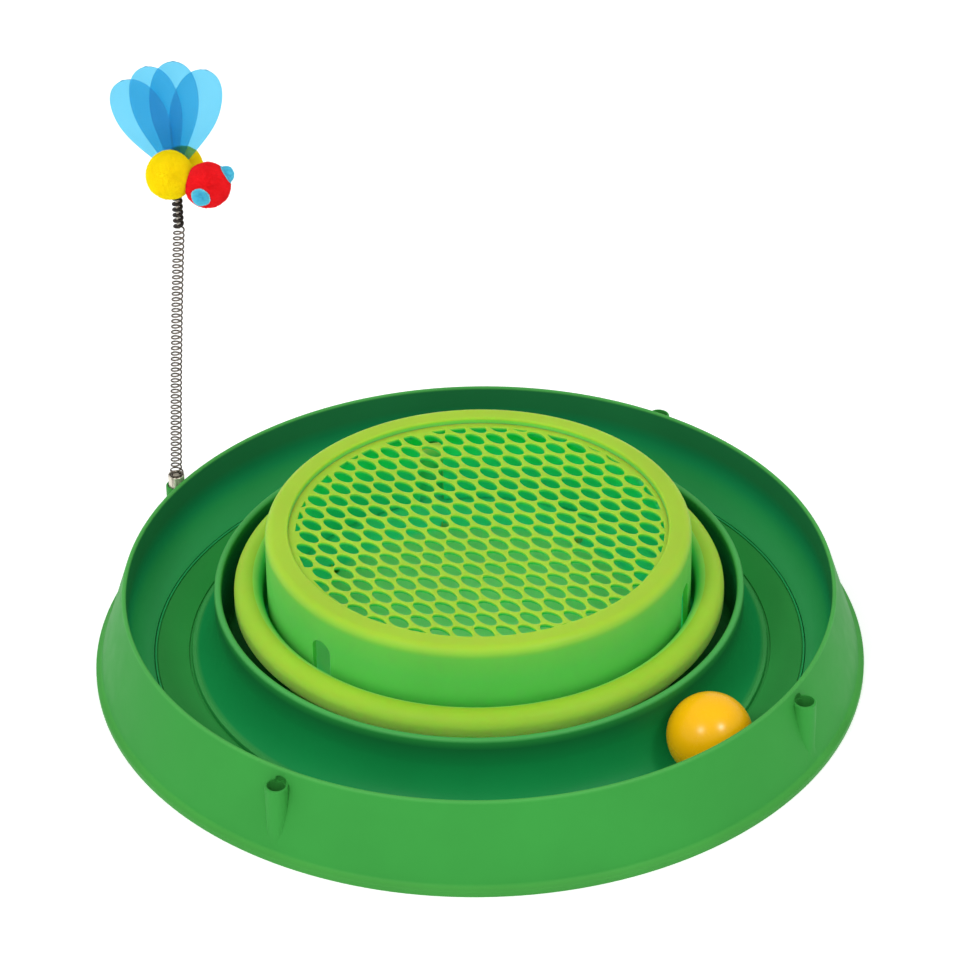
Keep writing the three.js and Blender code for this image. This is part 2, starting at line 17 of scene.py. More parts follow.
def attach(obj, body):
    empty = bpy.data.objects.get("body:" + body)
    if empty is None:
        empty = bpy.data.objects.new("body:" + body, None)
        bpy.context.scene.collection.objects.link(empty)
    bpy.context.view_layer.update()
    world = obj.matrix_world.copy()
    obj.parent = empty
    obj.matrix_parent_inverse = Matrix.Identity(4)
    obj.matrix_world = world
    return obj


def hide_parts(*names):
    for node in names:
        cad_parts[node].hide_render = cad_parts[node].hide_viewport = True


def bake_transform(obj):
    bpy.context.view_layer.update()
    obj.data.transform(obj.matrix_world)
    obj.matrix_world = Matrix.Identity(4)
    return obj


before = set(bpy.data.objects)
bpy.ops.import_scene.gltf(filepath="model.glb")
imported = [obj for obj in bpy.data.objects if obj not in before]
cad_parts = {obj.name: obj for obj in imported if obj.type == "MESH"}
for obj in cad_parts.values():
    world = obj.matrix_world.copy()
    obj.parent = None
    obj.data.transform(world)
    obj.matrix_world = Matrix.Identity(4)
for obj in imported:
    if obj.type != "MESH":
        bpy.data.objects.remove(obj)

Point = tuple[float, float]
Corner = tuple[float, float, float]
Outline = list[Point]
Colour = tuple[int, int, int]
Stop = tuple[float, Colour]
Petal = tuple[float, float, float, float]
Piece = bpy.types.Object
Shape = bmesh.types.BMesh
Material = bpy.types.Material
Socket = bpy.types.NodeSocket

LOG = logging.getLogger("toy")
MM = 0.001
SAME_PLACE = 1e-7
SHARP = 32.0
UPWARD = 0.2
FULL: Point = (0, 1)
MIDDLE: Point = (0.3, 0.7)
WHITE = (1, 1, 1, 1)
HERE = Matrix()


class Carving(Enum):
    """Ways to work one piece with another."""

    JOIN = "UNION"
    CUT = "DIFFERENCE"


class Body(Enum):
    """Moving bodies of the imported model."""

    BASE = "base"
    BALL = "ball"
    PLANTER = "planter"
    COVER = "cover"
    WAND_FOOT = "wand_foot"
    WAND_COIL = "wand_coil"
    BUG = "bug"


class Slot(Enum):
    """Material slots of the record."""

    GREEN = "track_green"
    LIME = "planter_lime"
    BALL = "ball_yellow"
    STEEL = "wand_steel"
    BLACK = "black_sleeve"
    FELT_YELLOW = "felt_yellow"
    FELT_RED = "felt_red"
    FELT_BLUE = "felt_blue"
    FILM = "wing_film"


class Effect(Enum):
    """Shader node groups that the finishes share."""

    SKIN = "moulded_skin"
    PILE = "fibre_pile"
    MARKS = "drawn_marks"


def linear(colour: Colour) -> tuple[float, float, float, float]:
    """Turns a display colour into scene values.

    Args:
        colour: Red, green and blue from 0 to 255.

    Returns:
        Linear red, green, blue and a full alpha.
    """
    shares = [channel / 255 for channel in colour]
    values = [s / 12.92 if s <= 0.04045 else ((s + 0.055) / 1.055) ** 2.4 for s in shares]
    return (*values, 1.0)


def arc(centre: Point, reach: Point, start: float, end: float, steps: int) -> Outline:
    """Lists the points of an elliptical arc, ends included.

    Args:
        centre: Middle of the ellipse.
        reach: Half widths along the two axes.
        start: First angle in degrees.
        end: Last angle in degrees.
        steps: Number of steps between the ends.

    Returns:
        The arc's points in order.
    """
    angles = [math.radians(start + (end - start) * i / steps) for i in range(steps + 1)]
    return [(centre[0] + reach[0] * math.cos(a), centre[1] + reach[1] * math.sin(a)) for a in angles]


def rounded(before: Point, corner: Corner, after: Point, steps: int = 5) -> Outline:
    """Rounds one corner of an outline.

    Args:
        before: The outline's point before the corner.
        corner: The corner and the radius of its rounding.
        after: The outline's point after the corner.
        steps: Number of steps of the rounding.

    Returns:
        The points that stand for the corner.
    """
    here = Vector(corner[:2])
    back = (Vector(before) - here).normalized()
    ahead = (Vector(after) - here).normalized()
    half = back.angle(ahead) / 2
    centre = here + (back + ahead).normalized() * (corner[2] / math.sin(half))
    reach = corner[2] / math.tan(half)
    first = here + back * reach - centre
    last = here + ahead * reach - centre
    rays = [first.lerp(last, i / steps).normalized() * corner[2] for i in range(steps + 1)]
    return [tuple(centre + ray) for ray in rays]


def eased(corners: list[Point | Corner]) -> Outline:
    """Rounds the corners of an outline that carry a radius.

    Args:
        corners: Points, some with the radius of their rounding.

    Returns:
        The outline with its rounded corners.
    """
    outline: Outline = []
    for i, corner in enumerate(corners):
        if len(corner) == 2:
            outline.append(corner)
        else:
            outline += rounded(corners[i - 1][:2], corner, corners[(i + 1) % len(corners)][:2])
    return outline


def turn(angle: float, axis: str = "Z") -> Matrix:
    """Makes a turn by degrees about an axis through the origin."""
    return Matrix.Rotation(math.radians(angle), 4, axis)


def around(start: float, count: int) -> list[Matrix]:
    """Lists evenly spaced turns about the Z axis."""
    return [turn(start + 360 * i / count) for i in range(count)]


def moved(shape: Shape, matrix: Matrix) -> Shape:
    """Moves a whole shape and gives it back."""
    bmesh.ops.transform(shape, matrix=matrix, verts=shape.verts[:])
    return shape


def face_out(shape: Shape) -> None:
    """Points all faces of a shape outwards."""
    bmesh.ops.recalc_face_normals(shape, faces=shape.faces[:])


def pull(shape: Shape, faces: list[bmesh.types.BMFace], way: Corner) -> list[bmesh.types.BMVert]:
    """Pulls faces out into a solid.

    Args:
        shape: The shape.
        faces: Its faces to pull.
        way: The pull in millimetres.

    Returns:
        The pulled vertices.
    """
    grown = bmesh.ops.extrude_face_region(shape, geom=faces, use_keep_orig=True)
    verts = [item for item in grown["geom"] if isinstance(item, bmesh.types.BMVert)]
    bmesh.ops.translate(shape, vec=[step * MM for step in way], verts=verts)
    return verts


def shade(piece: Piece, sharp: float) -> None:
    """Shades a piece smooth, apart from edges bent by more than the given degrees."""
    piece.data.shade_smooth()
    piece.data.set_sharp_from_angle(angle=math.radians(sharp))


def piece_from(shape: Shape, name: str, sharp: float = SHARP) -> Piece:
    """Makes a shown object of a shape.

    Args:
        shape: The shape, which is freed.
        name: The piece's name.
        sharp: Edges bent by more than this many degrees stay sharp.

    Returns:
        The new object at the origin.
    """
    mesh = bpy.data.meshes.new(name)
    shape.to_mesh(mesh)
    shape.free()
    piece = bpy.data.objects.new(name, mesh)
    bpy.context.scene.collection.objects.link(piece)
    shade(piece, sharp)
    return piece


def lathe(
    name: str, corners: list[Point | Corner], steps: int, closed: bool = False, matrix: Matrix = HERE
) -> Piece:
    """Turns a piece about the Z axis and moves it.

    Args:
        name: The piece's name.
        corners: Radius and height of its outline in millimetres, some with the radius of their rounding.
        steps: Number of steps round the axis.
        closed: Whether the outline's last point joins its first.
        matrix: The move of the turned piece.

    Returns:
        The piece, with merged seams and faces pointing out.
    """
    shape = bmesh.new()
    verts = [shape.verts.new((radius * MM, 0, height * MM)) for radius, height in eased(corners)]
    pairs = list(zip(verts, verts[1:]))
    if closed:
        pairs.append((verts[-1], verts[0]))
    edges = [shape.edges.new(pair) for pair in pairs]
    bmesh.ops.spin(
        shape, geom=verts + edges, cent=(0, 0, 0), axis=(0, 0, 1), angle=math.tau, steps=steps, use_merge=True
    )
    bmesh.ops.remove_doubles(shape, verts=shape.verts[:], dist=SAME_PLACE)
    face_out(shape)
    return piece_from(moved(shape, matrix), name)


def carve(piece: Piece, tools: list[Piece], way: Carving) -> None:
    """Joins tools to a piece or cuts them out of it, and removes the tools.

    Args:
        piece: The worked piece.
        tools: Closed shapes.
        way: Whether the tools are joined or cut.
    """
    for tool in tools:
        modifier = piece.modifiers.new(tool.name, "BOOLEAN")
        modifier.operation = way.value
        modifier.solver = "EXACT"
        modifier.object = tool
    bpy.context.view_layer.update()
    worked = piece.evaluated_get(bpy.context.evaluated_depsgraph_get())
    mesh = bpy.data.meshes.new_from_object(worked)
    piece.modifiers.clear()
    before, piece.data = piece.data, mesh
    bpy.data.meshes.remove(before)
    for tool in tools:
        bpy.data.objects.remove(tool)
    shade(piece, SHARP)


def dress(piece: Piece, material: Material, slot: Slot, body: Body | None, *nodes: str) -> Piece:
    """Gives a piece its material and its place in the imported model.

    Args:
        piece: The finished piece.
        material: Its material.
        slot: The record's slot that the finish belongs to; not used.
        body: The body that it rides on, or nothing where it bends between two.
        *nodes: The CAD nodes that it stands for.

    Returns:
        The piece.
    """
    piece.data.materials.clear()
    piece.data.materials.append(material)
    if body is not None:
        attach(piece, body.value)
    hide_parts(*nodes)
    piece.data.calc_loop_triangles()
    LOG.info("%s stands for %s, %d triangles", piece.name, ", ".join(nodes), len(piece.data.loop_triangles))
    return piece


def line(piece: Piece, material: Material, zone: Corner) -> None:
    """Gives the faces of a piece that look up or towards the Z axis a second material.

    Args:
        piece: The dressed piece.
        material: Material of those faces.
        zone: Lowest and highest middle of the faces and their greatest distance from the Z axis, in millimetres.
    """
    low, high, reach = zone
    piece.data.materials.append(material)
    for face in piece.data.polygons:
        flat = face.center.xy
        inward = face.normal.xy.dot(flat) < 0 or face.normal.z > UPWARD
        if inward and low < face.center.z / MM < high and flat.length / MM < reach:
            face.material_index = 1


class NodeBench:
    """Places and links the nodes of one node tree."""

    def __init__(self, tree: bpy.types.NodeTree) -> None:
        """Starts from an empty tree."""
        self.tree = tree
        self.tree.nodes.clear()

    def place(self, kind: str, **inputs: object) -> bpy.types.Node:
        """Places a node.

        Args:
            kind: The node's type.
            **inputs: Values or sockets for its inputs, spaces in their names written as underscores.

        Returns:
            The node.
        """
        node = self.tree.nodes.new(kind)
        for name, value in inputs.items():
            self.feed(node, name.replace("_", " "), value)
        return node

    def feed(self, node: bpy.types.Node, name: str, value: object) -> None:
        """Sets an input of a node, or links a socket to it.

        Args:
            node: The node.
            name: The input's name.
            value: A value, or the socket to link.
        """
        socket = next(s for s in node.inputs if s.name == name and s.enabled)
        if isinstance(value, Socket):
            self.tree.links.new(value, socket)
        else:
            socket.default_value = value

    def own_place(self) -> Socket:
        """Gives the piece's own coordinates."""
        return self.place("ShaderNodeTexCoord").outputs["Object"]

    def noise(self, place: Socket, scale: object, detail: float, **others: float) -> Socket:
        """Places a noise of a scale and a detail at coordinates and gives its value."""
        return self.place("ShaderNodeTexNoise", Vector=place, Scale=scale, Detail=detail, **others).outputs[0]

    def effect(self, effect: Effect, **inputs: float) -> bpy.types.NodeOutputs:
        """Places a shared effect.

        Args:
            effect: The effect.
            **inputs: Its own values.

        Returns:
            Its outputs.
        """
        node = self.place("ShaderNodeGroup")
        node.node_tree = bpy.data.node_groups[effect.value]
        for name, value in inputs.items():
            self.feed(node, name, value)
        return node.outputs

    def blend(self, factor: object, low: object, high: object, way: str = "MIX") -> Socket:
        """Mixes two colours.

        Args:
            factor: Share of the second colour.
            low: First colour.
            high: Second colour.
            way: The node's blend type.

        Returns:
            The mixed colour.
        """
        node = self.tree.nodes.new("ShaderNodeMix")
        node.data_type = "RGBA"
        node.blend_type = way
        for name, value in (("Factor", factor), ("A", low), ("B", high)):
            self.feed(node, name, value)
        return next(s for s in node.outputs if s.enabled)

    def spread(self, value: Socket, source: Point = FULL, target: Point = FULL) -> Socket:
        """Maps one range of values onto another and holds its ends.

        Args:
            value: The value to map.
            source: Range of the incoming value.
            target: Range of the result.

        Returns:
            The result.
        """
        node = self.place("ShaderNodeMapRange", Value=value)
        for name, number in zip(("From Min", "From Max", "To Min", "To Max"), (*source, *target)):
            self.feed(node, name, number)
        return node.outputs["Result"]

    def bump(self, height: Socket, strength: float, depth: float) -> Socket:
        """Makes a normal from a height, with the effect's share and its depth in millimetres."""
        return self.place("ShaderNodeBump", Height=height, Strength=strength, Distance=depth * MM).outputs["Normal"]


def start_effect(effect: Effect, outputs: tuple[str, ...], **inputs: float) -> tuple[NodeBench, bpy.types.NodeOutputs]:
    """Starts the node group of an effect.

    Args:
        effect: The effect.
        outputs: Names of its value outputs.
        **inputs: Its value inputs with their defaults.

    Returns:
        The group's bench and the sockets of its inputs.
    """
    tree = bpy.data.node_groups.new(effect.value, "ShaderNodeTree")
    for name, value in inputs.items():
        tree.interface.new_socket(name, in_out="INPUT", socket_type="NodeSocketFloat").default_value = value
    for name in outputs:
        tree.interface.new_socket(name, in_out="OUTPUT", socket_type="NodeSocketFloat")
    bench = NodeBench(tree)
    return bench, bench.place("NodeGroupInput").outputs


def build_skin() -> None:
    """Builds the skin of moulded plastic: broad clouding, fine grain and patches of gloss."""
    bench, ins = start_effect(Effect.SKIN, ("Tone", "Gloss", "Grain"), Cloud=16.0, Grain=1500.0)
    place = bench.own_place()
    cloud = bench.noise(place, ins["Cloud"], 3.0, Roughness=0.5)
    grain = bench.noise(place, ins["Grain"], 2.0, Roughness=0.6)
    patch = bench.noise(place, 90.0, 4.0, Roughness=0.6)
    bench.place("NodeGroupOutput", Tone=bench.spread(cloud, MIDDLE), Gloss=bench.spread(patch, MIDDLE), Grain=grain)


def build_pile() -> None:
    """Builds the pile of felted wool: tufts, single fibres and matted patches."""
    bench, ins = start_effect(Effect.PILE, ("Tone", "Pile"), Tuft=650.0)
    place = bench.own_place()
    matted = bench.noise(place, 140.0, 2.0, Distortion=0.6)
    tufts = bench.noise(place, ins["Tuft"], 4.0, Distortion=2.5)
    both = bench.place("ShaderNodeMath")
    both.operation = "MULTIPLY"
    for socket, value, low in zip(both.inputs, (matted, tufts), (0.55, 0.2)):
        bench.tree.links.new(bench.spread(value, MIDDLE, (low, 1)), socket)
    bench.place("NodeGroupOutput", Tone=both.outputs[0], Pile=tufts)


def build_marks() -> None:
    """Builds the marks of drawn metal: fine streaks along the axis and dull patches."""
    bench, ins = start_effect(Effect.MARKS, ("Tone", "Streak"), Streak=2600.0)
    place = bench.own_place()
    narrow = bench.place("ShaderNodeMapping", Vector=place, Scale=(1.0, 1.0, 0.06))
    streaks = bench.noise(narrow.outputs[0], ins["Streak"], 3.0)
    dull = bench.noise(place, 260.0, 3.0)
    bench.place("NodeGroupOutput", Tone=bench.spread(dull, (0.35, 0.65)), Streak=streaks)


@dataclass(frozen=True)
class Finish:
    """A finish with one shader."""

    name: str

    def inputs(self, bench: NodeBench) -> dict[str, object]:
        """Finds values and sockets by the names of the shader's inputs."""
        raise NotImplementedError

    def material(self) -> Material:
        """Builds the material.

        Returns:
            The material.
        """
        material = bpy.data.materials.new(self.name)
        material.use_nodes = True
        bench = NodeBench(material.node_tree)
        shader = bench.place("ShaderNodeBsdfPrincipled")
        bench.place("ShaderNodeOutputMaterial", Surface=shader.outputs[0])
        for name, value in self.inputs(bench).items():
            bench.feed(shader, name, value)
        return material


@dataclass(frozen=True)
class MouldedPlastic(Finish):
    """Moulded plastic with clouded colour and fine grain.

    The colour changes with the height where more than one is given; such height ramps are painted shade and painted
    highlights.
    """

    pigment_and_painted_light: tuple[Stop, ...]
    roughness: Point
    cloud: float = 16.0
    cloud_depth: float = 0.1
    bump: float = 0.12
    bump_depth: float = 0.06
    specular: float = 0.25
    bleed: float = 0.0
    bleed_reach: Corner = (1.6, 6.0, 2.0)
    glow: float = 0.0

    def colour_with_painted_light(self, bench: NodeBench) -> object:
        """Finds the colour: a single one, or a ramp over the height that holds painted shade and highlights.

        Args:
            bench: The material's bench.

        Returns:
            The one colour, or the socket of the colours over the height.
        """
        heights = [height for height, _ in self.pigment_and_painted_light]
        if len(heights) == 1:
            return linear(self.pigment_and_painted_light[0][1])
        height = bench.place("ShaderNodeSeparateXYZ", Vector=bench.own_place()).outputs["Z"]
        share = bench.spread(height, (heights[0] * MM, heights[-1] * MM))
        ramp = bench.place("ShaderNodeValToRGB", Fac=share)
        for i, (stop, colour) in enumerate(self.pigment_and_painted_light):
            at = (stop - heights[0]) / (heights[-1] - heights[0])
            element = ramp.color_ramp.elements[i] if i < 2 else ramp.color_ramp.elements.new(at)
            element.position = at
            element.color = linear(colour)
        return ramp.outputs["Color"]

    def inputs(self, bench: NodeBench) -> dict[str, object]:
        """Mixes clouded colour, with the painted shade and highlights of any height ramp, patches of gloss and grain.

        Args:
            bench: The material's bench.

        Returns:
            Values and sockets by the names of the shader's inputs.
        """
        skin = bench.effect(Effect.SKIN, Cloud=self.cloud)
        clouding = bench.spread(skin["Tone"], target=(1 - self.cloud_depth, 1))
        return {
            "Base Color": bench.blend(1.0, self.colour_with_painted_light(bench), clouding, "MULTIPLY"),
            "Roughness": bench.spread(skin["Gloss"], target=self.roughness),
            "Normal": bench.bump(skin["Grain"], self.bump, self.bump_depth),
            "Specular IOR Level": self.specular,
            "Subsurface Weight": self.bleed,
            "Subsurface Radius": self.bleed_reach,
            "Subsurface Scale": MM,
            "Emission Color": WHITE,
            "Emission Strength": self.glow,
        }


@dataclass(frozen=True)
class DrawnSteel(Finish):
    """Drawn steel with streaks and dull patches; broad streaks, as on the ferrule, are light and dark bands of painted
    reflection.
    """

    light: Colour
    dark: Colour
    roughness: Point
    streak: float = 2600.0
    metallic: float = 1.0
    band: Point = (0.4, 0.6)
    bump: Point = (0.2, 0.02)

    def inputs(self, bench: NodeBench) -> dict[str, object]:
        """Mixes streaks and dull patches.

        Args:
            bench: The material's bench.

        Returns:
            Values and sockets by the names of the shader's inputs.
        """
        marks = bench.effect(Effect.MARKS, Streak=self.streak)
        band = bench.spread(marks["Streak"], self.band)
        return {
            "Base Color": bench.blend(band, linear(self.dark), linear(self.light)),
            "Metallic": self.metallic,
            "Roughness": bench.spread(marks["Tone"], target=self.roughness),
            "Normal": bench.bump(marks["Streak"], *self.bump),
        }


@dataclass(frozen=True)
class FeltedWool(Finish):
    """Felted wool with a short pile."""

    light: Colour
    dark: Colour
    tuft: float = 650.0
    roughness: Point = (1.0, 0.85)
    bump: Point = (0.3, 0.2)
    specular: float = 0.15
    sheen: float = 0.25
    sheen_roughness: float = 0.6

    def inputs(self, bench: NodeBench) -> dict[str, object]:
        """Mixes tufts and matted patches.

        Args:
            bench: The material's bench.

        Returns:
            Values and sockets by the names of the shader's inputs.
        """
        pile = bench.effect(Effect.PILE, Tuft=self.tuft)
        return {
            "Base Color": bench.blend(pile["Tone"], linear(self.dark), linear(self.light)),
            "Roughness": bench.spread(pile["Tone"], target=self.roughness),
            "Normal": bench.bump(pile["Pile"], *self.bump),
            "Specular IOR Level": self.specular,
            "Sheen Weight": self.sheen,
            "Sheen Roughness": self.sheen_roughness,
            "Sheen Tint": linear(self.light),
        }


@dataclass(frozen=True)
class ClearFilm(Finish):
    """Clear tinted film, faintly clouded."""

    light: Colour
    dark: Colour
    clearness: float
    bending: float = 1.12
    cloud: float = 45.0
    grain: float = 420.0
    roughness: Point = (0.04, 0.1)
    bump: Point = (0.05, 0.1)

    def inputs(self, bench: NodeBench) -> dict[str, object]:
        """Mixes the tint and a faint grain.

        Args:
            bench: The material's bench.

        Returns:
            Values and sockets by the names of the shader's inputs.
        """
        skin = bench.effect(Effect.SKIN, Cloud=self.cloud, Grain=self.grain)
        return {
            "Base Color": bench.blend(skin["Tone"], linear(self.dark), linear(self.light)),
            "Transmission Weight": self.clearness,
            "IOR": self.bending,
            "Roughness": bench.spread(skin["Gloss"], target=self.roughness),
            "Normal": bench.bump(skin["Grain"], *self.bump),
        }


def green(name: str, *pigment_and_painted_light: Stop) -> MouldedPlastic:
    """Makes a green plastic of the outer ring."""
    return MouldedPlastic(name, pigment_and_painted_light, (0.42, 0.52), specular=0.06)


def lime(name: str, *pigment_and_painted_light: Stop) -> MouldedPlastic:
    """Makes a lime plastic that lets some light through."""
    return MouldedPlastic(name, pigment_and_painted_light, (0.42, 0.52), specular=0.1, bleed=0.8)


@dataclass(frozen=True)
class Peg:
    """Upright round tool: distance from the ring's axis, radius, foot, top and rounding of its top edge."""

    place: float
    radius: float
    foot: float
    top: float
    edge: float


@dataclass
class TrackBase:
    """Green base: the outer ring with its sockets and the track floor with the planter's well."""

    steps: int = 200
    rim: Point = (169.5, 41.9)
    rim_round: float = 1.1
    socket_azimuth: float = 148.3
    socket_count: int = 4
    boss: Peg = Peg(place=175.6, radius=5.4, foot=5.0, top=37.5, edge=0.6)
    bore: Peg = Peg(place=175.6, radius=4.4, foot=12.0, top=46.0, edge=0.1)
    scoop: Peg = Peg(place=172.8, radius=3.1, foot=36.0, top=39.6, edge=1.5)
    wall_zone: Corner = (6.0, 42.9, 169.0)
    # Green plastic of the outer ring: the lighter band at the flange top, about 3 to 5 mm high, and the lighter rim top
    # are painted highlights.
    ring_plastic_and_painted_highlights: MouldedPlastic = green(
        "ring_green_plastic",
        (2.2, (66, 150, 65)), (4.2, (71, 162, 68)), (5.4, (58, 152, 64)), (41.6, (58, 152, 64)), (42.7, (76, 166, 77)),
    )
    # Painted shade on the inside of the outer wall: the green darkens towards the rim, and the rim top is lighter as a
    # painted highlight.
    wall_painted_shade: MouldedPlastic = green(
        "wall_green_painted_shade",
        (13, (52, 166, 90)), (17, (44, 162, 88)), (22, (28, 150, 90)), (27, (25, 137, 84)), (32, (36, 123, 72)),
        (41.6, (36, 120, 70)), (42.7, (76, 166, 77)),
    )
    # Green plastic of the track floor with painted light: light lines on the lane's bead, about 8 mm high, and on the
    # step at 9.2 mm are painted highlights; the inner ring's wall is painted a darker teal, darkest near its top, as
    # shade; its rim top is a painted highlight.
    bed_plastic_and_painted_light: MouldedPlastic = MouldedPlastic(
        "bed_green_plastic",
        (
            (7.9, (48, 156, 69)), (8.15, (40, 176, 100)), (8.5, (48, 156, 69)), (9.2, (66, 166, 84)),
            (10.4, (24, 152, 80)), (28, (22, 146, 76)), (38, (20, 112, 56)), (41.8, (40, 140, 62)),
            (43.2, (75, 168, 83)),
        ),
        (0.4, 0.5), specular=0.08,
    )

    def socket_tools(self, peg: Peg) -> list[Piece]:
        """Makes one tool for each socket.

        Args:
            peg: The tool's shape.

        Returns:
            The tools.
        """
        corners = [(0, peg.foot), (peg.radius, peg.foot), (peg.radius, peg.top, peg.edge), (0, peg.top)]
        out = Matrix.Translation((peg.place * MM, 0, 0))
        places = around(self.socket_azimuth, self.socket_count)
        return [lathe("socket_tool", corners, steps=48, matrix=place @ out) for place in places]

    def build_ring(self) -> Piece:
        """Turns the outer ring, joins the socket bosses and bores them.

        The outline goes round the foot flange, skirt, rim, curved wall, lip and the hollow inside.

        Returns:
            The ring.
        """
        ring = lathe("ring_shell", [
            (185.0, 0.0, 0.5), (185.0, 3.0, 0.9), (182.2, 4.6, 2.4),
            *arc(self.rim, (self.rim_round, self.rim_round), 17, 180, 9),
            *arc((156.8, 28.0), (11.6, 19.8), 0, -90, 22),
            (156.8, 5.7), (151.8, 5.7, 0.3), (151.8, 3.7, 0.3), (158.8, 3.7),
            *arc((156.8, 28.0), (13.6, 21.8), -60, 0, 12),
            (170.4, 35.8), (180.1, 4.6, 0.8), (181.0, 0.0, 0.3),
        ], self.steps, closed=True)
        carve(ring, self.socket_tools(self.boss), Carving.JOIN)
        for peg in (self.bore, self.scoop):
            carve(ring, self.socket_tools(peg), Carving.CUT)
        return ring

    def build_floor(self) -> Piece:
        """Turns the track floor: well, inner ring, inner wall, step and hollowed lane.

        Returns:
            The floor.
        """
        return lathe("track_bed", [
            (0.0, 5.0),
            *arc((118.5, 9.0), (4.0, 4.0), -90, 0, 6),
            *arc((124.85, 41.75), (1.75, 1.75), 180, 0, 12),
            *arc((144.2, 30.0), (17.6, 23.0), -180, -115.3, 16),
            (138.4, 9.2, 0.45), (138.7, 7.0, 0.2), (139.9, 7.0, 0.2),
            *arc((147.5, 41.35), (34.35, 34.35), -102.6, -77.4, 12),
            (155.0, 7.2), (155.5, 7.2), (155.5, 8.1, 0.2), (156.4, 8.2, 0.2),
            (156.4, 6.0), (151.2, 6.0), (138.5, 4.8),
            *arc((136.12, 28.0), (11.72, 21.0), -90, -150, 10),
            (124.5, 19.0, 0.8), (124.5, 0.0, 0.3), (120.5, 0.0, 0.3), (120.5, 3.0, 0.8), (0.0, 3.0),
        ], self.steps)

    def build(self) -> None:
        """Builds and dresses the base."""
        ring = dress(self.build_ring(), self.ring_plastic_and_painted_highlights.material(), Slot.GREEN, Body.BASE, "outer_ring")
        # The inward faces of the outer wall get its painted shade.
        line(ring, self.wall_painted_shade.material(), self.wall_zone)
        dress(self.build_floor(), self.bed_plastic_and_painted_light.material(), Slot.GREEN, Body.BASE, "track_floor")


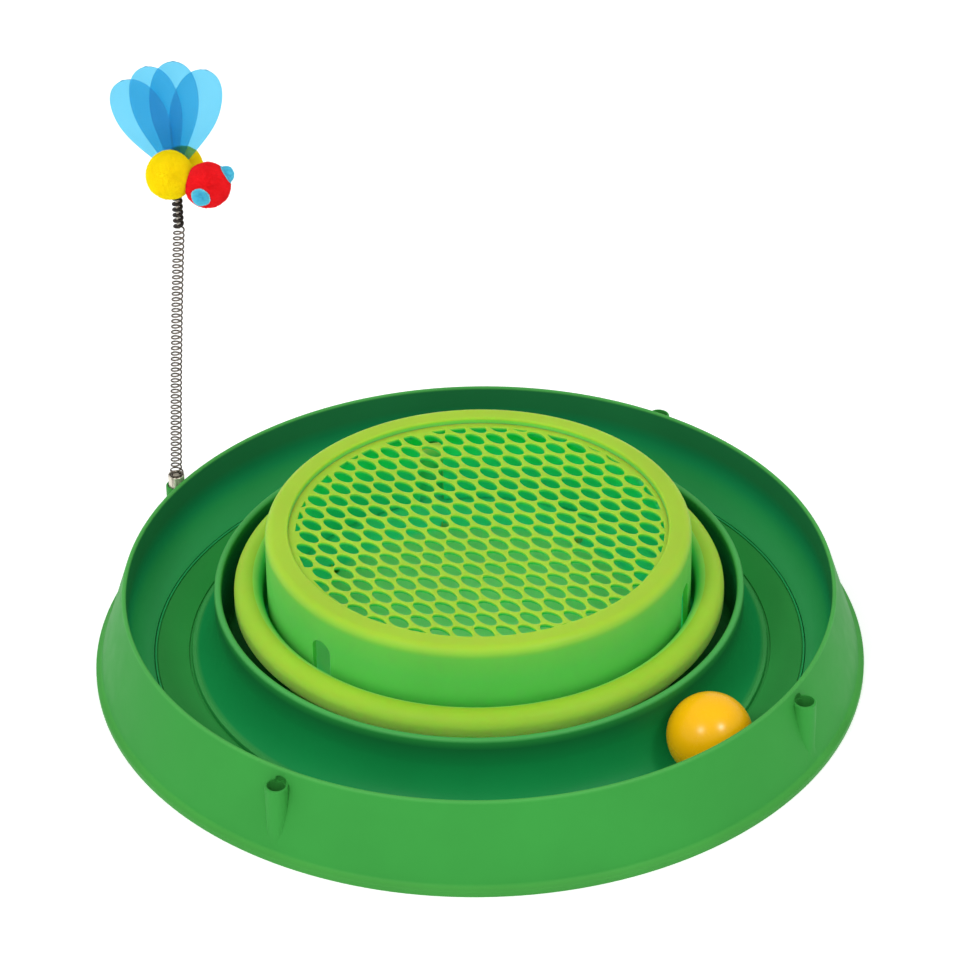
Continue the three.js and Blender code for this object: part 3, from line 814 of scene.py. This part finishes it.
@dataclass
class Planter:
    """Lime planter: the tray with its rolled rim, the cover and the grid in the cover."""

    steps: int = 200
    bowl_floor: float = 14.5
    drain_count: int = 8
    drain_radius: float = 3.0
    drain_place: float = 86.4
    drain_depth: float = 6.0
    drain_azimuth: float = 55.5
    notch_count: int = 3
    notch_width: float = 12.0
    notch_rise: float = 5.0
    notch_foot: float = 18.0
    notch_top: float = 58.4
    notch_inside: float = 93.2
    notch_reach: float = 14.0
    notch_azimuth: float = -136.6
    grid_radius: float = 90.27
    grid_sides: int = 160
    grid_top: float = 72.8
    grid_thickness: float = 2.0
    grid_edge: float = 0.2
    edge_limit: float = 89.5
    edge_slack: float = 0.4
    grid_taper: float = 0.35
    hole_limit: float = 87.55
    limit_place: Point = (0.96, 0.12)
    pitch_long: float = 13.3
    pitch_cross: float = 7.57
    hole_long: float = 12.2
    hole_cross: float = 6.6
    hole_sides: int = 20
    hole_point: float = 1.1
    grid_turn: float = -47.3
    grid_shift: Point = (2.8, -1.85)
    hole_step: float = 0.4
    smallest_share: float = 0.07
    bowl_zone: Corner = (13.0, 47.9, 108.0)
    inside_zone: Corner = (22.0, 74.6, 99.6)
    # Lime tray: below about 46 mm the rolled rim is painted a lighter, greener lime, painted light with the hue of
    # shade on its lower side.
    tray_plastic_and_painted_light: MouldedPlastic = lime("tray_lime_plastic", (36, (166, 236, 100)), (46, (163, 207, 55)))
    # Painted shade inside the tray: the bowl and the rolled rim's inner side are painted a deep green, and the floor
    # itself a lighter green as painted light coming through the grid.
    bowl_painted_shade_and_light: MouldedPlastic = lime(
        "bowl_lime_painted_shade_and_light",
        (14.52, (130, 247, 132)), (15.4, (54, 238, 152)), (30, (62, 232, 140)), (45.5, (90, 222, 108)),
        (47.9, (156, 226, 90)),
    )
    # Lime cover: below its rounded top the wall is painted a darker green as shade.
    cover_plastic_and_painted_shade: MouldedPlastic = lime(
        "cover_lime_plastic", (58, (96, 198, 84)), (70, (108, 198, 78)), (75, (168, 205, 58))
    )
    # Painted shade on the cover's inner face: a deep green up to its top.
    inside_painted_shade: MouldedPlastic = lime(
        "inside_lime_painted_shade", (58, (46, 236, 158)), (70, (56, 232, 140)), (74, (128, 214, 84))
    )
    # Lime grid: the walls of its holes and its underside, below about 72.7 mm, are painted a deep green as shade.
    grid_plastic_and_painted_shade: MouldedPlastic = MouldedPlastic(
        "grid_lime_plastic", ((71.4, (66, 226, 116)), (72.7, (166, 207, 58))), (0.44, 0.54), specular=0.1, bleed=0.8
    )

    def build_tray(self) -> Piece:
        """Turns the tray and cuts its drains.

        Returns:
            The tray.
        """
        tray = lathe("tray_shell", [
            (0.0, self.bowl_floor), (88.7, self.bowl_floor, 24.0), (96.9, 22.0, 1.0), (103.4, 22.0, 1.5),
            *arc((110.2, 41.5), (6.8, 6.8), 180, 0, 28),
            (117.0, 36.5, 0.5), (115.0, 36.5, 0.5),
            *arc((110.2, 41.5), (4.8, 4.8), 0, 180, 16),
            (105.4, 20.0, 0.8), (98.9, 20.0, 0.8), (90.7, 12.5, 0.8), (90.7, 5.3, 0.4),
            (88.7, 5.3, 0.4), (88.7, 12.5, 0.8), (0.0, 12.5),
        ], self.steps)
        drains = bmesh.new()
        radius = self.drain_radius * MM
        out = Matrix.Translation((self.drain_place * MM, 0, self.bowl_floor * MM))
        for place in around(self.drain_azimuth, self.drain_count):
            bmesh.ops.create_cone(
                drains, cap_ends=True, segments=24, radius1=radius, radius2=radius, depth=self.drain_depth * MM,
                matrix=place @ out,
            )
        carve(tray, [piece_from(drains, "drain_tools")], Carving.CUT)
        return tray

    def notch_tool(self, place: Matrix) -> Piece:
        """Makes the arched tool for one notch in the cover's foot.

        Args:
            place: Its turn from +X.

        Returns:
            The tool.
        """
        half = self.notch_width / 2
        top = arc((0, self.notch_top - self.notch_rise), (half, self.notch_rise), 0, 180, 20)
        arch = [(-half, self.notch_foot), (half, self.notch_foot), *top]
        shape = bmesh.new()
        verts = [shape.verts.new((self.notch_inside * MM, across * MM, height * MM)) for across, height in arch]
        pull(shape, [shape.faces.new(verts)], (self.notch_reach, 0, 0))
        moved(shape, place)
        face_out(shape)
        return piece_from(shape, "notch_tool")

    def build_cover(self) -> Piece:
        """Turns the cover and cuts the notches in its foot.

        Returns:
            The cover.
        """
        cover = lathe("cover_shell", [
            (99.0, 22.3, 0.5), (101.2, 22.3, 0.5),
            *arc((96.7, 71.3), (4.5, 4.5), 0, 90, 12),
            *arc((91.3, 74.8), (1.0, 1.0), 90, 180, 5),
            (90.3, 70.5), (88.3, 70.5, 0.3), (88.3, 68.5, 0.3), (96.8, 68.5, 1.0), (99.0, 66.3, 1.0),
        ], self.steps, closed=True)
        places = around(self.notch_azimuth, self.notch_count)
        carve(cover, [self.notch_tool(place) for place in places], Carving.CUT)
        return cover

    def hole_outline(self, column: int, row: int) -> list[Vector]:
        """Draws one pointed oval hole of the grid, cut short at the shelf.

        Args:
            column: Place along the ovals.
            row: Place across them.

        Returns:
            The hole's points, or none where too little of it is left.
        """
        stagger = 0.5 if row % 2 else 0.0
        middle = Vector(((column + stagger) * self.pitch_long, row * self.pitch_cross)) + Vector(self.grid_shift)
        oval = []
        for k in range(self.hole_sides):
            angle = math.tau * k / self.hole_sides
            across = math.copysign(abs(math.sin(angle)) ** self.hole_point, math.sin(angle))
            oval.append(middle + Vector((self.hole_long / 2 * math.cos(angle), self.hole_cross / 2 * across)))
        limit = Vector(self.limit_place)
        kept = [(point - limit).length <= self.hole_limit for point in oval]
        cut = []
        for k, here in enumerate(oval):
            after = (k + 1) % self.hole_sides
            if kept[k]:
                cut.append(here)
            if kept[k] != kept[after]:
                meets = geometry.intersect_line_sphere_2d(here, oval[after], limit, self.hole_limit, True)
                cut.append(meets[0] or meets[1])
        points = [here for here, after in zip(cut, cut[1:] + cut[:1]) if (after - here).length > self.hole_step]
        area = sum(a.cross(b) for a, b in zip(points, points[1:] + points[:1])) / 2
        whole = math.pi * self.hole_long * self.hole_cross / 4
        return points if area > whole * self.smallest_share else []

    def build_grid(self) -> Piece:
        """Fills the grid's disc between its rim and the holes, thickens it and rounds its edges.

        Returns:
            The grid.
        """
        shape = bmesh.new()
        middles: dict[Point, Vector] = {}
        bmesh.ops.create_circle(shape, segments=self.grid_sides, radius=self.grid_radius * MM)
        rows = math.ceil(self.hole_limit / self.pitch_cross) + 1
        columns = math.ceil(self.hole_limit / self.pitch_long) + 1
        for row in range(-rows, rows + 1):
            for column in range(-columns, columns + 1):
                points = self.hole_outline(column, row)
                if points:
                    ring = bmesh.ops.create_circle(shape, segments=len(points), radius=MM)["verts"]
                    middle = sum(points, Vector((0, 0))) / len(points) * MM
                    for vert, point in zip(ring, points):
                        vert.co = (point.x * MM, point.y * MM, 0)
                        middles[tuple(vert.co.xy)] = middle
        filled = bmesh.ops.triangle_fill(shape, edges=shape.edges[:], use_beauty=True, normal=(0, 0, 1))
        faces = [item for item in filled["geom"] if isinstance(item, bmesh.types.BMFace)]
        for vert in pull(shape, faces, (0, 0, -self.grid_thickness)):
            middle = middles.get(tuple(vert.co.xy))
            if middle is not None:
                vert.co.xy += (vert.co.xy - middle).normalized() * self.grid_taper * MM
        face_out(shape)
        rims = []
        for edge in shape.edges:
            first, last = (vert.co for vert in edge.verts)
            bent = edge.is_manifold and abs(edge.calc_face_angle() - math.pi / 2) < self.edge_slack
            if bent and abs(first.z - last.z) < SAME_PLACE and first.xy.length < self.edge_limit * MM:
                rims.append(edge)
        bmesh.ops.bevel(
            shape, geom=rims, offset=self.grid_edge * MM, segments=2, profile=0.5, affect="EDGES", material=-1,
            clamp_overlap=True,
        )
        moved(shape, Matrix.Translation((0, 0, self.grid_top * MM)) @ turn(self.grid_turn))
        return piece_from(shape, "cover_lattice", sharp=50)

    def build(self) -> None:
        """Builds and dresses the planter."""
        tray = dress(self.build_tray(), self.tray_plastic_and_painted_light.material(), Slot.LIME, Body.PLANTER, "planter_tray")
        # The bowl and the rolled rim's inner side get the painted shade.
        line(tray, self.bowl_painted_shade_and_light.material(), self.bowl_zone)
        cover = dress(self.build_cover(), self.cover_plastic_and_painted_shade.material(), Slot.LIME, Body.COVER, "cover_ring")
        # The cover's inner face gets the painted shade.
        line(cover, self.inside_painted_shade.material(), self.inside_zone)
        dress(self.build_grid(), self.grid_plastic_and_painted_shade.material(), Slot.LIME, Body.COVER, "cover_grid")


@dataclass
class RollingBall:
    """Yellow ball of two welded halves in the lane."""

    radius: float = 20.0
    shell: float = 1.2
    seam: float = 0.01
    seam_round: float = 0.04
    seam_angle: float = 0.15
    lane_radius: float = 147.5
    azimuth: float = -44.5
    height: float = 27.3
    finish: MouldedPlastic = MouldedPlastic(
        "ball_yellow_plastic", ((0, (255, 190, 4)),), (0.24, 0.3), cloud=60.0, cloud_depth=0.03, bump=0.04, specular=0.2
    )

    def half(self, name: str, tilt: float) -> Piece:
        """Turns one half of the ball.

        Args:
            name: The piece's name.
            tilt: 0 for the upper half, 180 for the lower one.

        Returns:
            The half.
        """
        inner = self.radius - self.shell
        outline = [
            *arc((0, 0), (self.radius, self.radius), 90, self.seam_angle, 40),
            (self.radius - self.seam_round, self.seam),
            *arc((0, self.seam), (inner, inner), 0, 90, 16),
        ]
        angle = math.radians(self.azimuth)
        place = Vector((self.lane_radius * math.cos(angle), self.lane_radius * math.sin(angle), self.height)) * MM
        return lathe(name, outline, steps=96, matrix=Matrix.Translation(place) @ turn(tilt, "X"))

    def build(self) -> None:
        """Builds and dresses the ball."""
        material = self.finish.material()
        dress(self.half("ball_top", 0), material, Slot.BALL, Body.BALL, "ball_upper_half")
        dress(self.half("ball_bottom", 180), material, Slot.BALL, Body.BALL, "ball_lower_half")


@dataclass(frozen=True)
class Winding:
    """A wire wound about an upright axis that may lean and bend towards +X."""

    radius: float
    wire: float
    turns: float
    pitch: float
    foot: float
    lean: float = 0.0
    bend: float = 0.0
    flare: float = 0.0
    flare_height: float = 0.0
    flare_reach: float = 1.0
    sides: int = 8
    steps_per_turn: int = 24
    start: float = 0.0

    def shape(self) -> Shape:
        """Winds the wire.

        Returns:
            The wound wire in metres, about the Z axis, with closed ends.
        """
        coil = bmesh.new()
        place = Matrix.Translation((self.radius * MM, 0, self.foot * MM))
        bmesh.ops.create_circle(
            coil, cap_ends=True, segments=self.sides, radius=self.wire / 2 * MM,
            matrix=turn(self.start) @ place @ turn(90, "X"),
        )
        steps = round(self.turns * self.steps_per_turn)
        bmesh.ops.spin(
            coil, geom=coil.faces[:] + coil.edges[:] + coil.verts[:], cent=(0, 0, 0), axis=(0, 0, 1),
            dvec=(0, 0, self.pitch * self.turns / steps * MM), angle=math.tau * self.turns, steps=steps,
        )
        face_out(coil)
        for vert in coil.verts:
            height = vert.co.z / MM
            out = Vector((vert.co.x, vert.co.y, 0)).normalized()
            rise = height - self.foot
            vert.co += out * self.flare * MM * math.exp(-(((height - self.flare_height) / self.flare_reach) ** 2))
            vert.co.x += (self.lean * rise + self.bend * rise * rise) * MM
        return coil


@dataclass
class Wand:
    """Spring wand: ferrule, plug, open spring, the black neck winding and the stem in it."""

    axis: Point = (-149.40, 92.27)
    top_x: float = -140.93
    ferrule_radius: float = 4.0
    ferrule_bore: float = 3.4
    ferrule_lip: float = 3.2
    ferrule_foot: float = 12.3
    ferrule_top: float = 43.6
    ferrule_floor: float = 0.6
    lip_depths: Point = (0.6, 0.8)
    plug_radius: float = 3.1
    plug_lift: float = 0.9
    plug_top: float = 39.1
    pin_radius: float = 1.9
    pin_top: float = 43.5
    spring_top: float = 183.6
    stem_radius: float = 0.9
    stem_ease: float = 0.315
    stem_foot: float = 185.2
    stem_top: float = 213.4
    spring: Winding = Winding(
        radius=2.5, wire=0.85, turns=46.2, pitch=3.1, foot=41.6, lean=0.0443, bend=0.000106,
        flare=0.8, flare_height=45.0, flare_reach=1.3,
    )
    neck: Winding = Winding(radius=1.85, wire=1.7, turns=6.2, pitch=3.06, foot=185.6, sides=16, start=90.0)
    # Ferrule steel: the broad light and dark bands of its streaks are painted reflections.
    ferrule_steel_and_painted_reflections: DrawnSteel = DrawnSteel(
        "ferrule_steel", (222, 214, 198), (110, 100, 88), (0.3, 0.4), streak=620.0, metallic=0.7
    )
    # Spring steel: its dark grey stands in for the dark surroundings that the wire reflects, a painted reflection.
    spring_steel_and_painted_reflection: DrawnSteel = DrawnSteel("spring_steel", (124, 114, 105), (88, 80, 73), (0.32, 0.46))
    # Stem: the near-white, barely metallic colour is painted light, so that the stem reads bright in the shaded gaps of
    # the black winding.
    stem_steel_and_painted_light: DrawnSteel = DrawnSteel("stem_steel", (246, 240, 226), (222, 214, 198), (0.5, 0.6), metallic=0.2)
    core: MouldedPlastic = MouldedPlastic("plug_grey", ((0, (176, 168, 152)),), (0.4, 0.55), cloud=120.0)
    sleeve: MouldedPlastic = MouldedPlastic(
        "neck_black", ((0, (38, 30, 27)),), (0.4, 0.55), cloud=120.0, cloud_depth=0.3
    )

    def place(self, x: float) -> Matrix:
        """Finds the move to the wand, at a place along X in millimetres."""
        return Matrix.Translation((x * MM, self.axis[1] * MM, 0))

    def build_ferrule(self) -> Piece:
        """Turns the ferrule with its eased edges.

        Returns:
            The ferrule.
        """
        radius, bore, lip = self.ferrule_radius, self.ferrule_bore, self.ferrule_lip
        foot, top, floor = self.ferrule_foot, self.ferrule_top, self.ferrule_foot + self.ferrule_floor
        corners = [
            (0.0, foot), (radius, foot, 0.4), (radius, top, 0.3), (lip, top, 0.2),
            (lip, top - self.lip_depths[0], 0.2), (bore, top - self.lip_depths[1]),
            (bore, floor, 0.3), (0.0, floor),
        ]
        return lathe("ferrule_tube", corners, steps=64, matrix=self.place(self.axis[0]))

    def build_plug(self) -> Piece:
        """Turns the plug with the pin that the spring is pushed over.

        Returns:
            The plug.
        """
        foot = self.ferrule_foot + self.plug_lift
        corners = [
            (0.0, foot), (self.plug_radius, foot, 0.6), (self.plug_radius, self.plug_top, 0.4),
            (self.pin_radius, self.plug_top, 0.2), (self.pin_radius, self.pin_top, 0.9), (0.0, self.pin_top),
        ]
        return lathe("ferrule_plug", corners, steps=48, matrix=self.place(self.axis[0]))

    def build_stem(self) -> Piece:
        """Turns the stem with eased ends.

        Returns:
            The stem.
        """
        radius, ease, foot, top = self.stem_radius, self.stem_ease, self.stem_foot, self.stem_top
        corners = [(0, foot), (radius, foot, ease), (radius, top, ease), (0, top)]
        return lathe("stem_wire", corners, steps=32, matrix=self.place(self.top_x))

    def build(self) -> None:
        """Builds and dresses the wand."""
        dress(self.build_ferrule(), self.ferrule_steel_and_painted_reflections.material(), Slot.STEEL, Body.WAND_FOOT, "wand_ferrule")
        dress(self.build_plug(), self.core.material(), Slot.BLACK, Body.WAND_FOOT, "wand_plug")
        spring = piece_from(moved(self.spring.shape(), self.place(self.axis[0])), "spring_wire", sharp=60)
        dress(spring, self.spring_steel_and_painted_reflection.material(), Slot.STEEL, None, "wand_spring")
        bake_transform(spring)
        neck = piece_from(moved(self.neck.shape(), self.place(self.top_x)), "neck_winding", sharp=60)
        dress(neck, self.sleeve.material(), Slot.BLACK, Body.BUG, "neck_coil")
        dress(self.build_stem(), self.stem_steel_and_painted_light.material(), Slot.STEEL, Body.BUG, "bug_stem")


@dataclass(frozen=True)
class Pom:
    """One felted ball of the bug."""

    name: str
    node: str
    centre: Corner
    radius: float
    height_radius: float
    fineness: int
    seed: int


@dataclass
class Bug:
    """Soft bug on the wand: felted body balls, head, eyes and clear film wings.

    Each wing has its turn in the fan, its lean in degrees, its length and its width.
    """

    top: Corner = (-140.93, 92.27, 213.4)
    gap: float = 0.3
    lump: float = 0.35
    lump_scales: Point = (1.9, 5.0)
    seed_shift: Corner = (3.1, 1.7, 0.0)
    pile: Point = (0.1, 0.75)
    pile_spread: float = 0.25
    wing_root: float = 1.6
    wing_flare: float = 2.4
    wing_widest: float = 0.65
    wing_pulls: tuple[float, float, float, float] = (0.3, 0.65, 0.6, 0.64)
    wing_thickness: float = 0.2
    wing_pitch: float = 0.65
    wing_cup: float = 0.7
    wing_curl: float = 0.35
    wing_rise: float = 0.6
    wing_steps: int = 16
    wing_columns: int = 10
    wings: tuple[Petal, ...] = (
        (-22.0, -3, 58.6, 24.4), (-10.4, -1, 60.7, 23.2), (1.7, 1, 60.2, 23.2), (17.4, 3, 56.4, 23.2)
    )
    front: Pom = Pom("front_pom", "bug_body_front", (-142.63, 79.145, 222.1), 11.2, 11.6, 6, 11)
    rear: Pom = Pom("rear_pom", "bug_body_rear", (-138.43, 103.745, 211.8), 10.2, 10.2, 6, 12)
    head: Pom = Pom("head_pom", "bug_head", (-124.61, 74.24, 219.2), 10.7, 10.7, 6, 13)
    near_eye: Pom = Pom("near_eye_pom", "bug_eye_1", (-127.52, 65.04, 218.19), 4.0, 4.0, 5, 14)
    far_eye: Pom = Pom("far_eye_pom", "bug_eye_2", (-116.2, 75.74, 223.8), 4.0, 4.0, 5, 15)
    yellow: FeltedWool = FeltedWool("felt_yellow_wool", (255, 240, 10), (255, 230, 0))
    red: FeltedWool = FeltedWool("felt_red_wool", (255, 42, 50), (242, 30, 40))
    blue: FeltedWool = FeltedWool("felt_blue_wool", (118, 224, 246), (98, 212, 236))
    film: ClearFilm = ClearFilm("wing_blue_film", (117, 205, 235), (109, 200, 232), clearness=0.9)

    def build_pom(self, pom: Pom, seat: Pom | None) -> Piece:
        """Makes a felted ball with lumps and a short pile, pressed in where it sits on another.

        Args:
            pom: The ball.
            seat: The ball that it is pressed against, if any.

        Returns:
            The ball.
        """
        chance = random.Random(pom.seed)
        shape = bmesh.new()
        bmesh.ops.create_icosphere(shape, subdivisions=pom.fineness, radius=1.0)
        offset = Vector([pom.seed * step for step in self.seed_shift])
        size = Vector((pom.radius, pom.radius, pom.height_radius)) - Vector((self.pile[0],) * 3)
        broad, fine = self.lump_scales
        for vert in shape.verts:
            lump = noise.noise(vert.co * broad + offset) * self.lump
            lump += noise.noise(vert.co * fine + offset) * self.lump / 3
            vert.co = (vert.co * size + vert.co * (lump - self.lump / 2)) * MM
        tips = bmesh.ops.poke(shape, faces=shape.faces[:])["verts"]
        spread = self.pile_spread * math.sqrt(4 * math.pi / len(tips)) * pom.radius
        for tip in tips:
            away = tip.co.normalized()
            side = Vector([chance.uniform(-1, 1) for _ in range(3)])
            tip.co += (away * chance.uniform(*self.pile) + side * spread) * MM
        bmesh.ops.translate(shape, vec=Vector(pom.centre) * MM, verts=shape.verts[:])
        if seat is not None:
            middle = Vector(seat.centre) * MM
            room = (seat.radius + self.gap) * MM
            for vert in shape.verts:
                if (vert.co - middle).length < room:
                    vert.co = middle + (vert.co - middle).normalized() * room
        face_out(shape)
        return piece_from(shape, pom.name, sharp=80)

    def wing_rows(self, length: float, width: float) -> list[Point]:
        """Lists half widths and heights of a wing's outline from its root to its tip.

        Args:
            length: The wing's length.
            width: Its greatest width.

        Returns:
            Half width and height of each row.
        """
        root, waist, shoulder, tip = self.wing_pulls
        steps = self.wing_steps
        half = width / 2
        low = self.wing_root / 2
        widest = length * self.wing_widest
        rest = length - widest
        curves = (
            ((low, 0), (low + self.wing_flare, widest * root), (half, widest * waist), (half, widest)),
            ((half, widest), (half, widest + rest * shoulder), (half * tip, length), (0, length)),
        )
        rows: list[Point] = []
        for curve in curves:
            for i in range(steps + 1):
                t = i / steps
                shares = ((1 - t) ** 3, 3 * t * (1 - t) ** 2, 3 * t * t * (1 - t), t ** 3)
                rows.append(tuple(sum(s * p[axis] for s, p in zip(shares, curve)) for axis in (0, 1)))
        return rows[:steps] + rows[steps + 1:]

    def build_wing(self, index: int) -> Piece:
        """Shapes one cupped film wing from a grid.

        Args:
            index: Number of the wing, from 0.

        Returns:
            The wing.
        """
        fan, lean, length, width = self.wings[index]
        rows = self.wing_rows(length, width)
        last = len(rows) - 1
        shape = bmesh.new()
        bmesh.ops.create_grid(shape, x_segments=self.wing_columns, y_segments=last, size=1)
        for vert in shape.verts:
            across = vert.co.x
            half, height = rows[round((vert.co.y + 1) / 2 * last)]
            share = height / length
            cup = self.wing_cup * share * (1 - across * across) + lean * self.wing_curl * share * share
            vert.co = Vector((across * half, cup, height)) * MM
        bmesh.ops.remove_doubles(shape, verts=shape.verts[:], dist=SAME_PLACE)
        face_out(shape)
        bmesh.ops.solidify(shape, geom=shape.faces[:], thickness=self.wing_thickness * MM)
        behind = (index - (len(self.wings) - 1) / 2) * self.wing_pitch
        root = Vector((self.top[0], self.top[1] + behind, self.top[2] + self.wing_rise)) * MM
        moved(shape, Matrix.Translation(root) @ (turn(-lean, "X") @ turn(fan, "Y")))
        return piece_from(shape, f"wing_petal_{index + 1}", sharp=50)

    def build(self) -> None:
        """Builds and dresses the bug."""
        yellow, red, blue = (wool.material() for wool in (self.yellow, self.red, self.blue))
        film = self.film.material()
        poms = (
            (self.front, None, yellow, Slot.FELT_YELLOW),
            (self.rear, None, yellow, Slot.FELT_YELLOW),
            (self.head, self.front, red, Slot.FELT_RED),
            (self.near_eye, self.head, blue, Slot.FELT_BLUE),
            (self.far_eye, self.head, blue, Slot.FELT_BLUE),
        )
        for pom, seat, material, slot in poms:
            dress(self.build_pom(pom, seat), material, slot, Body.BUG, pom.node)
        for index in range(len(self.wings)):
            dress(self.build_wing(index), film, Slot.FILM, Body.BUG, f"wing_{index + 1}")


@dataclass(frozen=True)
class Flash:
    """A small soft light: its place in metres, its watts and the watts of its glint in glossy faces."""

    name: str
    place: Corner
    power: float
    glint: float


@dataclass
class Studio:
    """Pale floor, soft light and the camera at the photograph's angle."""

    aim: Corner = (0.91, 0.0, 100.35)
    distance: float = 2000.0
    elevation: float = 34.173
    roll: float = -0.0134
    lens: float = 159.65
    flashes: tuple[Flash, ...] = (
        Flash("left_flash", (-0.75, -1.2, 1.4), power=9.0, glint=9.0),
        Flash("right_flash", (0.95, -0.95, 1.45), power=4.5, glint=15.0),
    )
    flash_size: float = 0.36
    flash_aim: Corner = (0.1, -0.1, 0.03)
    dome: Point = (0.9, 0.68)
    floor_reach: float = 6.0
    floor: MouldedPlastic = MouldedPlastic(
        "studio_floor", ((0, (252, 252, 252)),), (0.8, 0.9), cloud=2.0, cloud_depth=0.01, specular=0.0, glow=0.34
    )

    def build_floor(self) -> None:
        """Lays the floor."""
        shape = bmesh.new()
        bmesh.ops.create_grid(shape, x_segments=2, y_segments=2, size=self.floor_reach)
        floor = piece_from(shape, "studio_floor")
        floor.data.materials.append(self.floor.material())

    def hang(self, name: str, place: Corner, power: float) -> Piece:
        """Hangs one round lamp that faces the toy.

        Args:
            name: The lamp's name.
            place: Its place in metres.
            power: Watts.

        Returns:
            The lamp.
        """
        light = bpy.data.lights.new(name, "AREA")
        light.shape = "DISK"
        light.size = self.flash_size
        light.energy = power
        lamp = bpy.data.objects.new(name, light)
        lamp.location = place
        lamp.rotation_euler = (Vector(self.flash_aim) - Vector(place)).to_track_quat("-Z", "Y").to_euler()
        bpy.context.scene.collection.objects.link(lamp)
        return lamp

    def build_lights(self) -> None:
        """Hangs the flashes, each with a glint for glossy faces alone, and sets the surround."""
        for flash in self.flashes:
            self.hang(flash.name, flash.place, flash.power)
            self.hang(f"{flash.name}_glint", flash.place, flash.glint).visible_diffuse = False
        world = bpy.data.worlds.new("studio_surround")
        world.use_nodes = True
        bench = NodeBench(world.node_tree)
        way = bench.place("ShaderNodeTexCoord").outputs["Generated"]
        side = bench.place("ShaderNodeSeparateXYZ", Vector=way).outputs["X"]
        strength = bench.spread(side, (-1, 1), self.dome)
        glow = bench.place("ShaderNodeBackground", Color=WHITE, Strength=strength)
        bench.place("ShaderNodeOutputWorld", Surface=glow.outputs[0])
        bpy.context.scene.world = world

    def build_camera(self) -> None:
        """Sets the camera up: it looks at its aim from a distance, raised by its elevation and rolled."""
        camera = bpy.data.cameras.new("photo_camera")
        camera.lens = self.lens
        camera.sensor_fit = "HORIZONTAL"
        holder = bpy.data.objects.new("photo_camera", camera)
        tilt = turn(90 - self.elevation, "X") @ Matrix.Rotation(self.roll, 4, "Z")
        back = Matrix.Translation((0, 0, self.distance * MM))
        holder.matrix_world = Matrix.Translation(Vector(self.aim) * MM) @ tilt @ back
        bpy.context.scene.collection.objects.link(holder)
        bpy.context.scene.camera = holder

    def build(self) -> None:
        """Sets the studio up."""
        self.build_camera()
        self.build_floor()
        self.build_lights()
        bpy.context.scene.view_settings.view_transform = "Standard"


def corners(box: tuple[Vector, Vector]) -> list[list[float]]:
    """Lists a box's two corners as plain numbers."""
    return [list(corner) for corner in box]


def main() -> None:
    """Builds the toy and its studio in order."""
    logging.basicConfig(level=logging.INFO, format="%(message)s")
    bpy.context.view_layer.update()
    for build_effect in (build_skin, build_pile, build_marks):
        build_effect()
    for part in (Studio(), TrackBase(), Planter(), RollingBall(), Wand(), Bug()):
        part.build()


if __name__ == "__main__":
    main()
